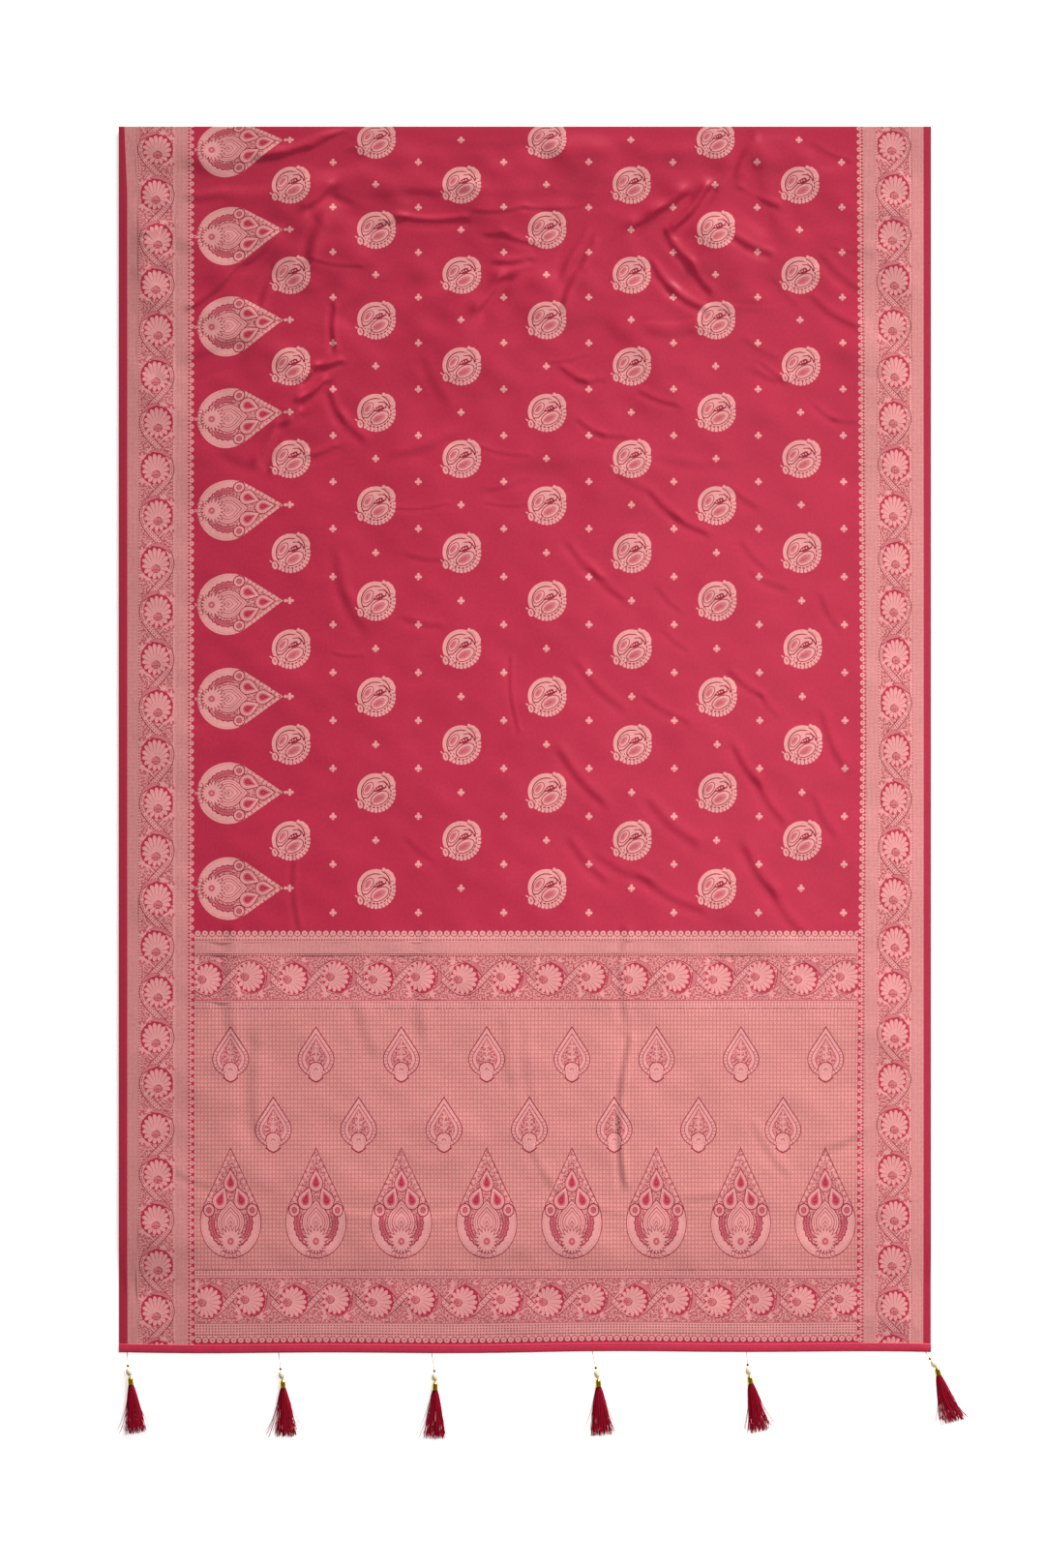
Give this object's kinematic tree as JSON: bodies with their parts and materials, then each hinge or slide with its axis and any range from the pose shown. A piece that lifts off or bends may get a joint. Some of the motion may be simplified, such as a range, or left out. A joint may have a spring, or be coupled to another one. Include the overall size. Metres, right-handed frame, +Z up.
{
  "type": "satin silk saree laid flat with pallu and tassels",
  "caption": "Crimson satin silk saree laid flat: woven paisley field, flower borders on both sides, figured pallu end with a turned hem and small silk tassels, the rest folded beneath.",
  "frame": {"origin": "under the middle of the whole saree, tassels included, on the surface it lies on", "axes": "+X to the right selvedge, +Y from the tassels to the top fold, +Z up from the surface"},
  "size_m": [1.1524, 1.8101, 0.0092],
  "materials": {
    "figured_satin": "satin weave with woven pale gold figures",
    "plain_satin": "satin weave",
    "tassel_silk": "soft silk floss",
    "gold_thread": "twisted metallic thread",
    "brass": "polished",
    "pearl": "pearly"
  },
  "bodies": {
    "root": {"shown_stretch": "figured_satin", "hidden_folded_layers": "plain_satin", "pallu_hem": "plain_satin", "tassel_1_thread": "gold_thread", "tassel_1_bead": "brass", "tassel_1_pearl": "pearl", "tassel_1_cap": "brass", "tassel_1_skein": "tassel_silk", "tassel_2_thread": "gold_thread", "tassel_2_bead": "brass", "tassel_2_pearl": "pearl", "tassel_2_cap": "brass", "tassel_2_skein": "tassel_silk", "tassel_3_thread": "gold_thread", "tassel_3_bead": "brass", "tassel_3_pearl": "pearl", "tassel_3_cap": "brass", "tassel_3_skein": "tassel_silk", "tassel_4_thread": "gold_thread", "tassel_4_bead": "brass", "tassel_4_pearl": "pearl", "tassel_4_cap": "brass", "tassel_4_skein": "tassel_silk", "tassel_5_thread": "gold_thread", "tassel_5_bead": "brass", "tassel_5_pearl": "pearl", "tassel_5_cap": "brass", "tassel_5_skein": "tassel_silk", "tassel_6_thread": "gold_thread", "tassel_6_bead": "brass", "tassel_6_pearl": "pearl", "tassel_6_cap": "brass", "tassel_6_skein": "tassel_silk"}
  },
  "joints": []
}
